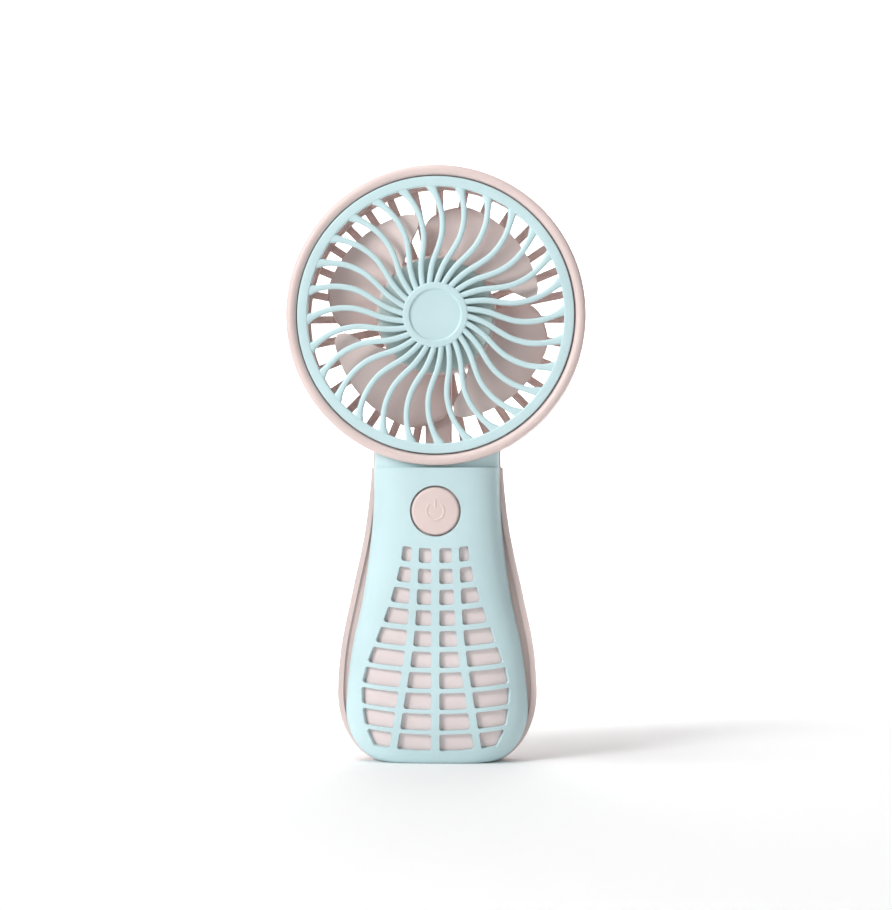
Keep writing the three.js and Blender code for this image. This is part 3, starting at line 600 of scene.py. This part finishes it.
def rib_section(half_width, half_depth, power=2.8, count=18):
    points = []
    for i in range(count):
        turn = 2 * math.pi * i / count
        cos, sin = math.cos(turn), math.sin(turn)
        points.append(
            (
                half_width * math.copysign(abs(cos) ** (2 / power), cos),
                half_depth * math.copysign(abs(sin) ** (2 / power), sin),
            )
        )
    return points


def make_front_grille():
    build = Build()
    front, back = -GRILLE_FACE, -GRILLE_FACE + GRILLE_RIM
    build.lathe(rounded_box_profile(GRILLE_INNER, GRILLE_OUTER, front, back, 0.4), GRILLE_SIDES, closed=True)
    dish_floor = front + FRONT_DISH_DEPTH
    hub = [(0, dish_floor), (FRONT_DISH - 0.5, dish_floor)]
    hub += arc_points((FRONT_DISH - 0.45, dish_floor - 0.3), 0.3, 90, 0, 4)
    hub += arc_points((FRONT_DISH + 0.25, front + 0.35), 0.35, 180, 270, 5)
    hub += arc_points((FRONT_HUB - 0.5, front + 0.5), 0.5, -90, 0, 6)
    hub += [(FRONT_HUB, front + FRONT_RIB_DEPTH), (0, front + FRONT_RIB_DEPTH)]
    build.lathe(hub, HUB_SIDES)
    steps = 34
    start, end = FRONT_HUB - 1.2, GRILLE_INNER + 1.8
    radii = [start + (end - start) * i / steps for i in range(steps + 1)]
    middle = front + 0.12 + FRONT_RIB_DEPTH / 2

    def section_at(i):
        to_rim = max(0.0, GRILLE_INNER - radii[i])
        half = FRONT_RIB_WIDTH / 2 + RIB_FLARE * math.exp(-to_rim / RIB_FLARE_LENGTH)
        return rib_section(half, FRONT_RIB_DEPTH / 2)

    for k in range(FRONT_RIBS):
        phase = FRONT_RIB_PHASE + k * 360 / FRONT_RIBS
        path = []
        for radius in radii:
            x, z = polar(radius, phase + rib_sweep(radius))
            path.append((x, middle, z + HEAD_Z))
        build.sweep(path, section_at)
    settle(build.object("front_grille_fine"), "mint_plastic", nodes=["front_grille"])


def hub_point(x, z):
    """A point of the rear hub plate, which is slightly domed."""
    return x, GRILLE_FACE - 0.35 * (x * x + z * z) / REAR_HUB ** 2, z + HEAD_Z


def make_rear_grille():
    build = Build()
    front, back = GRILLE_FACE - GRILLE_RIM, GRILLE_FACE
    build.lathe(rounded_box_profile(REAR_INNER, GRILLE_OUTER, front, back, 0.5), GRILLE_SIDES, closed=True)
    middle = back - 1.1
    start, end = REAR_HUB - 1.0, REAR_INNER + 0.7
    steps = 10
    radii = [start + (end - start) * i / steps for i in range(steps + 1)]
    for k in range(REAR_RIBS):
        path = []
        for radius in radii:
            x, z = polar(radius, k * 360 / REAR_RIBS)
            path.append((x, middle - 0.1, z + HEAD_Z))
        build.sweep(path, lambda i: rib_section(REAR_RIB_WIDTH / 2, 1.1, 3.6, 16))
    inner, outer, cup_front = MOTOR_CUP
    build.lathe(rounded_box_profile(inner, outer, cup_front, back - 1.5, 0.3, 2), 72, closed=True)
    grille = build.object("rear_grille_fine")
    settle(grille, "pink_plastic", nodes=["rear_grille"])

    duct = Build()
    outer, inner = DUCT_HALF, DUCT_HALF - DUCT_WALL
    wall = DUCT_FRONT + DUCT_WALL
    ring = [(-outer, DUCT_FRONT), (outer, DUCT_FRONT), (outer, back - 0.1), (-outer, back - 0.1)]
    room = [(-inner, wall), (inner, wall), (inner, front), (-inner, front)]
    foot, top = HEAD_Z - REAR_INNER + 0.1, HEAD_Z - MOTOR_CUP[1] + 0.6
    levels = [[(x, y, z) for x, y in loop] for loop in (ring, room) for z in (foot, top)]
    verts = [point for level in levels for point in level]
    faces = []
    for i in range(4):
        j = (i + 1) % 4
        faces += [(i, j, 4 + j, 4 + i), (8 + i, 12 + i, 12 + j, 8 + j)]
        faces += [(i, 8 + i, 8 + j, j), (4 + i, 4 + j, 12 + j, 12 + i)]
    duct.add(verts, faces)
    lead_duct = duct.object("lead_duct")
    soften(lead_duct, 0.35)
    settle(lead_duct, "pink_plastic")

    hub = Build()
    holes = [circle(2.3, 32, x) for x in (-MOTOR_SCREW_X, MOTOR_SCREW_X)]
    hub.filled(circle(REAR_HUB, 120), holes, hub_point, 1.6)
    plate = hub.object("rear_hub_plate")
    thicken(plate, 2.2, (0, 1, 0))
    soften(plate, 0.35)
    settle(plate, "pink_plastic")


# Impeller.

def lead_angle(radius):
    bend = max(0.0, (radius - 31.5) / (BLADE_PEAK - 31.5))
    return -7.5 + 17.5 * bend ** 2


def tail_angle(radius):
    reach = max(0.0, min(1.0, (radius - HUB_OUTER) / (32.4 - HUB_OUTER)))
    return 56 + 23.4 * (1 - (1 - reach) ** 1.4)


def blade_point(out, across, phase):
    """A point of a blade's middle surface: out from root to tip, across from lead to tail."""
    root = HUB_OUTER - HUB_WALL / 2
    tip = BLADE_PEAK + (BLADE_TAIL - BLADE_PEAK) * across
    tip -= 1.6 * max(0.0, 1 - across / 0.12) ** 2 + 1.2 * max(0.0, 1 - (1 - across) / 0.08) ** 2
    radius = root + (tip - root) * out
    lead = lead_angle(root + (BLADE_PEAK - root) * out)
    tail = tail_angle(root + (BLADE_TAIL - root) * out)
    x, z = polar(radius, phase + lead + (tail - lead) * across)
    depth = BLADE_BACK + (BLADE_FRONT - BLADE_BACK) * across ** 0.9
    cup = 0.9 * math.sin(math.pi * across) * out
    return x, depth + cup, z + HEAD_Z


def make_impeller():
    blades = Build()
    for k in range(BLADES):
        rows = [
            [
                blade_point(i / BLADE_ROWS, j / BLADE_COLUMNS, k * 360 / BLADES)
                for j in range(BLADE_COLUMNS + 1)
            ]
            for i in range(BLADE_ROWS + 1)
        ]
        blades.grid(rows)
    fan_blades = blades.object("impeller_blades")
    thicken(fan_blades, BLADE_THICK, (0, -1, 0))
    fan_blades.modifiers["wall"].offset = 0
    soften(fan_blades, 0.45, 40)
    settle(fan_blades, "pink_plastic", "rotor", ["impeller"])

    inner, floor = HUB_OUTER - HUB_WALL, HUB_FRONT + HUB_WALL
    cup = Build()
    profile = [(0, HUB_FRONT)] + arc_points((HUB_OUTER - 1, HUB_FRONT + 1), 1, -90, 0, 5)
    profile += [(HUB_OUTER, HUB_BACK - 0.3), (HUB_OUTER - 0.3, HUB_BACK), (inner + 0.3, HUB_BACK)]
    profile += [(inner, HUB_BACK - 0.3), (inner, floor), (3, floor), (3, floor + 2.6)]
    profile += [(1.3, floor + 2.6), (1.3, floor), (0, floor)]
    cup.lathe(profile, HUB_SIDES)
    hub = cup.object("impeller_hub")
    soften(hub, 0.15, 50, 2)
    settle(hub, "pink_plastic", "rotor")

    cap_r, cap_front, cap_back = cap_high.x, cap_low.y, cap_high.y
    cap = Build()
    profile = [(0, cap_front - 0.1), (cap_r * 0.5, cap_front - 0.05), (cap_r - 1.5, cap_front + 0.1)]
    profile += arc_points((cap_r - 0.5, cap_front + 0.65), 0.5, -80, 0, 4)
    profile += [(cap_r, cap_back), (0, cap_back)]
    cap.lathe(profile, HUB_SIDES)
    # the cap's greyer mint is partly painted shade from the ribs in front of it
    settle(cap.object("impeller_hub_cap_fine"), "cap_plastic", "rotor", ["impeller_hub_cap"])


# Handle.

TURN = 31.5  # millimetres of the flat layout for each radian round a section


def up_of(z, height):
    """Height in the flat layout: the rounded corner at the base is laid out by its arc."""
    if z >= height:
        return height * math.pi / 2 + z - height
    return height * math.acos(1 - z / height)


def z_of(up, height):
    if up >= height * math.pi / 2:
        return up - height * math.pi / 2 + height
    return height * (1 - math.cos(up / height))


def turn_of(x, width):
    """How far round a section x stands, from the middle of its front or back."""
    share = min(1.0, abs(x) / width)
    depth = (1 - share ** SQUARENESS) ** (1 / SQUARENESS)
    return math.copysign(math.atan2(share, depth), x)


def turn_at(y, depth):
    """How far round the section reaches the depth y, measured from where y is greatest."""
    share = y / depth
    across = (1 - abs(share) ** SQUARENESS) ** (1 / SQUARENESS)
    return math.atan2(across, share)


def section_point(turn, width, depth):
    sin, cos = math.sin(turn), math.cos(turn)
    reach = (abs(sin) ** SQUARENESS + abs(cos) ** SQUARENESS) ** (-1 / SQUARENESS)
    return width * reach * sin, depth * reach * cos


class Half:
    """One half of the handle: side is -1 for the front cover and 1 for the back shell."""

    def __init__(self, side, width_at, corner, edge):
        self.side = side
        self.width_at = width_at
        self.corner = corner
        self.edge = edge

    def end_turn(self, z):
        return turn_at(self.edge * self.side, handle_depth(z))

    def place(self, across, up):
        z = min(HANDLE_TOP, z_of(up, self.corner))
        x, y = section_point(across / TURN, self.width_at(z), handle_depth(z))
        return x, self.side * y, z

    def flat(self, x, z):
        return turn_of(x, self.width_at(z)) * TURN, up_of(z, self.corner)

    def outline(self):
        top = up_of(HANDLE_TOP, self.corner)
        rows = int(top / GRID)
        ups = [top * i / rows for i in range(rows + 1)]
        reach = [self.end_turn(z_of(up, self.corner)) * TURN for up in ups]
        columns = int(2 * reach[-1] / GRID)
        right = list(zip(reach, ups))
        left = [(-a, b) for a, b in reversed(right)]
        over = [(reach[-1] * (1 - 2 * i / columns), top) for i in range(1, columns)]
        under = [(-reach[0] * (1 - 2 * i / columns), 0.0) for i in range(1, columns)]
        return right + over + left + under, columns

    def cap(self, build, z, up, columns, holes=()):
        """Closes the top or the base with a flat face out to the seam."""
        reach = self.end_turn(z) * TURN
        rim = [self.place(reach * (1 - 2 * i / columns), up)[:2] for i in range(columns + 1)]
        edge = []
        for i in range(1, 30):
            share = i / 30
            edge.append((rim[-1][0] * (1 - share) + rim[0][0] * share, rim[-1][1]))
        build.filled(rim + edge, list(holes), lambda x, y: (x, y, z))


def window_outlines(half):
    outlines = []
    for row in range(WINDOW_ROWS):
        share = row / (WINDOW_ROWS - 1)
        high = WINDOW_TOP - row * WINDOW_PITCH
        low = high - (WINDOW_HEIGHTS[0] + (WINDOW_HEIGHTS[1] - WINDOW_HEIGHTS[0]) * share)
        for left_at, right_at in (
            (lambda z: CENTRE_BAR_HALF, lambda z: side_bar(z) - SIDE_BAR_HALF),
            (lambda z: side_bar(z) + SIDE_BAR_HALF, window_reach),
        ):
            corners = [(left_at(low), low), (right_at(low), low)]
            corners += [(right_at(high), high), (left_at(high), high)]
            for mirror in (-1, 1):
                outline = []
                for x, z in rounded_outline(corners, WINDOW_CORNER):
                    rise = WINDOW_RISE * (x / window_reach(z)) ** 2 * window_reach(z) / 25
                    outline.append(half.flat(mirror * x, z + rise))
                outlines.append(outline)
    return outlines


def make_cover():
    half = Half(-1, cover_width, COVER_CORNER, PARTING - SEAM)
    outline, columns = half.outline()
    holes = window_outlines(half)
    holes.append([half.flat(x, z) for x, z in circle(BUTTON_HOLE, 96, 0, BUTTON_Z)])
    build = Build()
    build.filled(outline, holes, half.place)
    half.cap(build, HANDLE_TOP, up_of(HANDLE_TOP, COVER_CORNER), columns)
    half.cap(build, 0.0, 0.0, columns)
    cover = build.object("front_cover_fine")
    thicken(cover, COVER_WALL, (0, -1, 0))
    soften(cover, 0.28)
    settle(cover, "mint_plastic", nodes=["handle_front_cover"])


def counterbore(build, x, z):
    """The sunk seat of a case screw, from just under the shell's surface."""
    width = shell_width(z)
    mouth = section_point(turn_of(abs(x) + CASE_SINK_R, width), width, handle_depth(z))[1]
    profile = [
        (CASE_HOLE_R, PARTING + SEAT_START),
        (CASE_SINK_R + SEAT_WALL, PARTING + SEAT_START),
        (CASE_SINK_R + SEAT_WALL, mouth - SEAT_BELOW),
        (CASE_SINK_R, mouth - SEAT_BELOW),
        (CASE_SINK_R, CASE_SINK_Y),
        (CASE_HOLE_R, CASE_SINK_Y),
    ]
    build.lathe(profile, 40, x, z, closed=True)


def make_back_shell():
    half = Half(1, shell_width, SHELL_CORNER, PARTING + SEAM)
    outline, columns = half.outline()
    holes = [
        [half.flat(x, z) for x, z in circle(CASE_SINK_R, 40, x0, z0)]
        for x0, z0 in CASE_SCREWS
    ]
    build = Build()
    build.filled(outline, holes, half.place)
    half.cap(build, HANDLE_TOP, up_of(HANDLE_TOP, SHELL_CORNER), columns)
    port_y = (port_low.y + port_high.y) / 2
    wide, deep = port_high.x + 0.35, (port_high.y - port_low.y) / 2 + 0.35
    mouth = rounded_outline(rectangle(wide, port_y - deep, port_y + deep), deep * 0.98, 8, 0.8)
    half.cap(build, 0.0, 0.0, columns, [mouth])
    shell = build.object("back_shell_fine")
    thicken(shell, SHELL_WALL, (0, 1, 0))
    soften(shell, 0.4)
    settle(shell, "pink_plastic", nodes=["handle_back_shell"])

    seats = Build()
    for x, z in CASE_SCREWS:
        counterbore(seats, x, z)
    wells = seats.object("screw_seats")
    soften(wells, 0.12, 50, 2)
    settle(wells, "pink_plastic")


def make_flange():
    """The turned-in edge of the back shell that the cover sits against."""
    build = Build()
    steps = 60
    for side in (-1, 1):
        rows = []
        for i in range(steps + 1):
            z = FLANGE_LOW + (HANDLE_TOP - FLANGE_SHORT) * i / steps
            outer = section_point(turn_at(2.0, handle_depth(z)), shell_width(z) - SHELL_WALL * 0.6, 1)[0]
            inner = min(outer - 0.5, cover_width(z) - 2.4)
            front, back = PARTING + FLANGE_FRONT, PARTING + FLANGE_BACK
            ring = [(outer, front), (inner, front), (inner, back), (outer, back)]
            rows.append([(side * x, y, z) for x, y in ring])
        verts = [point for row in rows for point in row]
        faces = []
        for i in range(steps):
            for k in range(4):
                m = (k + 1) % 4
                faces.append((i * 4 + k, i * 4 + m, i * 4 + 4 + m, i * 4 + 4 + k))
        faces += [(0, 1, 2, 3), tuple(steps * 4 + k for k in range(4))]
        build.add(verts, faces)
    flange = build.object("shell_flange")
    soften(flange, 0.15, 50, 2)
    settle(flange, "pink_plastic")


def make_neck():
    """The neck goes up behind the front panel and follows the drum's round side."""
    for name, slot, side, edge, half_width in (
        ("neck_front", "mint_plastic", -1, PARTING - SEAM, NECK_HALF),
        ("neck_back", "pink_plastic", 1, PARTING + SEAM, NECK_HALF + 0.15),
    ):
        low = HANDLE_TOP - NECK_START
        end = turn_at(edge * side, NECK_DEPTH)
        count, rows = 72, 12
        rim = []
        for i in range(count + 1):
            x, y = section_point(end * (1 - 2 * i / count), half_width, NECK_DEPTH)
            rim.append((x, side * y))
        clear = RING_OUTER + NECK_CLEAR
        build = Build()
        levels = []
        for j in range(rows + 1):
            share = j / rows
            levels.append(
                [(x, y, low + (HEAD_Z - math.sqrt(clear * clear - x * x) - low) * share) for x, y in rim]
            )
        build.grid(levels)
        for level in (levels[0], levels[-1]):
            build.grid([level, [(x, rim[0][1], z) for x, _, z in level]])
        seam_rows = [[(x, rim[0][1], z) for x, _, z in level] for level in levels]
        build.grid(seam_rows)
        neck = build.object(name)
        soften(neck, 0.35)
        settle(neck, slot)


def make_liner():
    build = Build()
    low, high = liner_low.z, liner_high.z
    rows = []
    for i in range(LINER_ROWS + 1):
        z = low + (high - low) * i / LINER_ROWS
        width, depth = cover_width(z) - LINER_INSET, handle_depth(z) - LINER_INSET
        reach = min(window_reach(z) + 1.8, width * 0.97)
        row = []
        for k in range(LINER_COLUMNS + 1):
            across = reach * (k / (LINER_COLUMNS / 2) - 1)
            x, y = section_point(turn_of(across, width), width, depth)
            row.append((x, -y, z))
        rows.append(row)
    build.grid(rows)
    liner = build.object("window_liner_fine")
    thicken(liner, LINER_THICK, (0, -1, 0))
    soften(liner, 0.2)
    settle(liner, "liner_plastic", nodes=["window_liner"])


def make_button():
    front = button_low.y
    back = button_high.y
    build = Build()
    profile = [(0, front - 0.12), (BUTTON_R * 0.5, front - 0.08), (BUTTON_R - 1.1, front + 0.05)]
    profile += arc_points((BUTTON_R - 0.8, front + 0.88), 0.8, -82, 0, 6)
    profile += [(BUTTON_R, FLANGE_Y[0]), (BUTTON_FLANGE, FLANGE_Y[0]), (BUTTON_FLANGE, FLANGE_Y[1])]
    profile += [(BUTTON_STEM_R, FLANGE_Y[1]), (BUTTON_STEM_R, back), (0, back)]
    build.lathe(profile, HUB_SIDES, 0, BUTTON_Z)
    bead = rib_section(0.42, 0.2, 2.2, 12)
    arc = []
    for i in range(41):
        x, z = polar(SYMBOL_R, SYMBOL_FROM + SYMBOL_SWEEP * i / 40)
        arc.append((x, front - SYMBOL_LIFT, BUTTON_Z + z))
    stroke = [
        (0, front - SYMBOL_LIFT, BUTTON_Z + STROKE_LOW + STROKE_LENGTH * i / 10) for i in range(11)
    ]
    for path in (arc, stroke):
        last = len(path) - 1

        def section_at(i, last=last):
            to_end = min(i, last - i)
            size = math.sqrt(1 - (1 - min(1, (to_end + 0.15) / 1.6)) ** 2)
            return [(a * size, y * size) for a, y in bead]

        build.sweep(path, section_at)
    button = build.object("power_button_fine")
    soften(button, 0.1, 60, 2)
    settle(button, "pink_plastic", "button", ["power_button"])


def dress_frame():
    """Each CAD node that stays visible gets its material."""
    slots = {row["node"]: row["material_slot"] for row in frame["record"]["subparts"]}
    for name, item in frame["nodes"].items():
        item.data.materials.clear()
        item.data.materials.append(MATERIALS[slots[name]])


# Floor, light and camera.

def make_stage():
    """A pale floor that curves up into a backdrop."""
    half, front, bend, back, top = 3000, -2500, 900, 1500, 3000
    profile = [(front, 0.0)]
    radius = back - bend
    for i in range(25):
        turn = math.pi / 2 * i / 24
        profile.append((bend + radius * math.sin(turn), radius * (1 - math.cos(turn))))
    profile.append((back, top))
    build = Build()
    build.grid([[(-half, y, z), (half, y, z)] for y, z in profile])
    floor = build.object("studio_floor")
    material, tree, shader, place = start_material("studio_paper")
    drift = ramp(tree, noise(tree, place, 2.5, 2), 0, 1)
    colour_between(tree, shader, drift, (0.93, 0.93, 0.93), (0.91, 0.91, 0.91))
    shader.inputs["Roughness"].default_value = 0.9
    floor.data.materials.append(material)


def area_light(name, place, aim, size, power):
    light = bpy.data.lights.new(name, "AREA")
    light.shape = "DISK"
    light.size = size
    light.energy = power
    lamp = bpy.data.objects.new(name, light)
    lamp.location = place
    lamp.rotation_euler = (Vector(aim) - Vector(place)).to_track_quat("-Z", "Y").to_euler()
    bpy.context.scene.collection.objects.link(lamp)


def make_lights():
    for light in LIGHTS:
        area_light(*light)
    world = bpy.data.worlds.new("studio_air")
    world.use_nodes = True
    world.node_tree.nodes["Background"].inputs["Color"].default_value = (1, 1, 1, 1)
    world.node_tree.nodes["Background"].inputs["Strength"].default_value = AIR_STRENGTH
    bpy.context.scene.world = world
    bpy.context.scene.view_settings.view_transform = "Standard"
    bpy.context.scene.view_settings.look = "None"


def make_camera():
    distance, azimuth = CAMERA_DISTANCE * MM, math.radians(CAMERA_AZIMUTH)
    aim = Vector([c * MM for c in CAMERA_AIM])
    camera = bpy.data.objects.new("camera", bpy.data.cameras.new("camera"))
    camera.data.sensor_width = SENSOR
    camera.data.lens = SENSOR * CAMERA_DISTANCE / VIEW_WIDTH
    camera.data.clip_start = 0.01
    camera.location = aim + distance * Vector((math.sin(azimuth), -math.cos(azimuth), 0))
    camera.rotation_euler = (aim - camera.location).to_track_quat("-Z", "Y").to_euler()
    bpy.context.scene.collection.objects.link(camera)
    bpy.context.scene.camera = camera


dress_frame()
make_ring()
make_front_grille()
make_rear_grille()
make_impeller()
make_cover()
make_back_shell()
make_flange()
make_neck()
make_liner()
make_button()
make_stage()
make_lights()
make_camera()
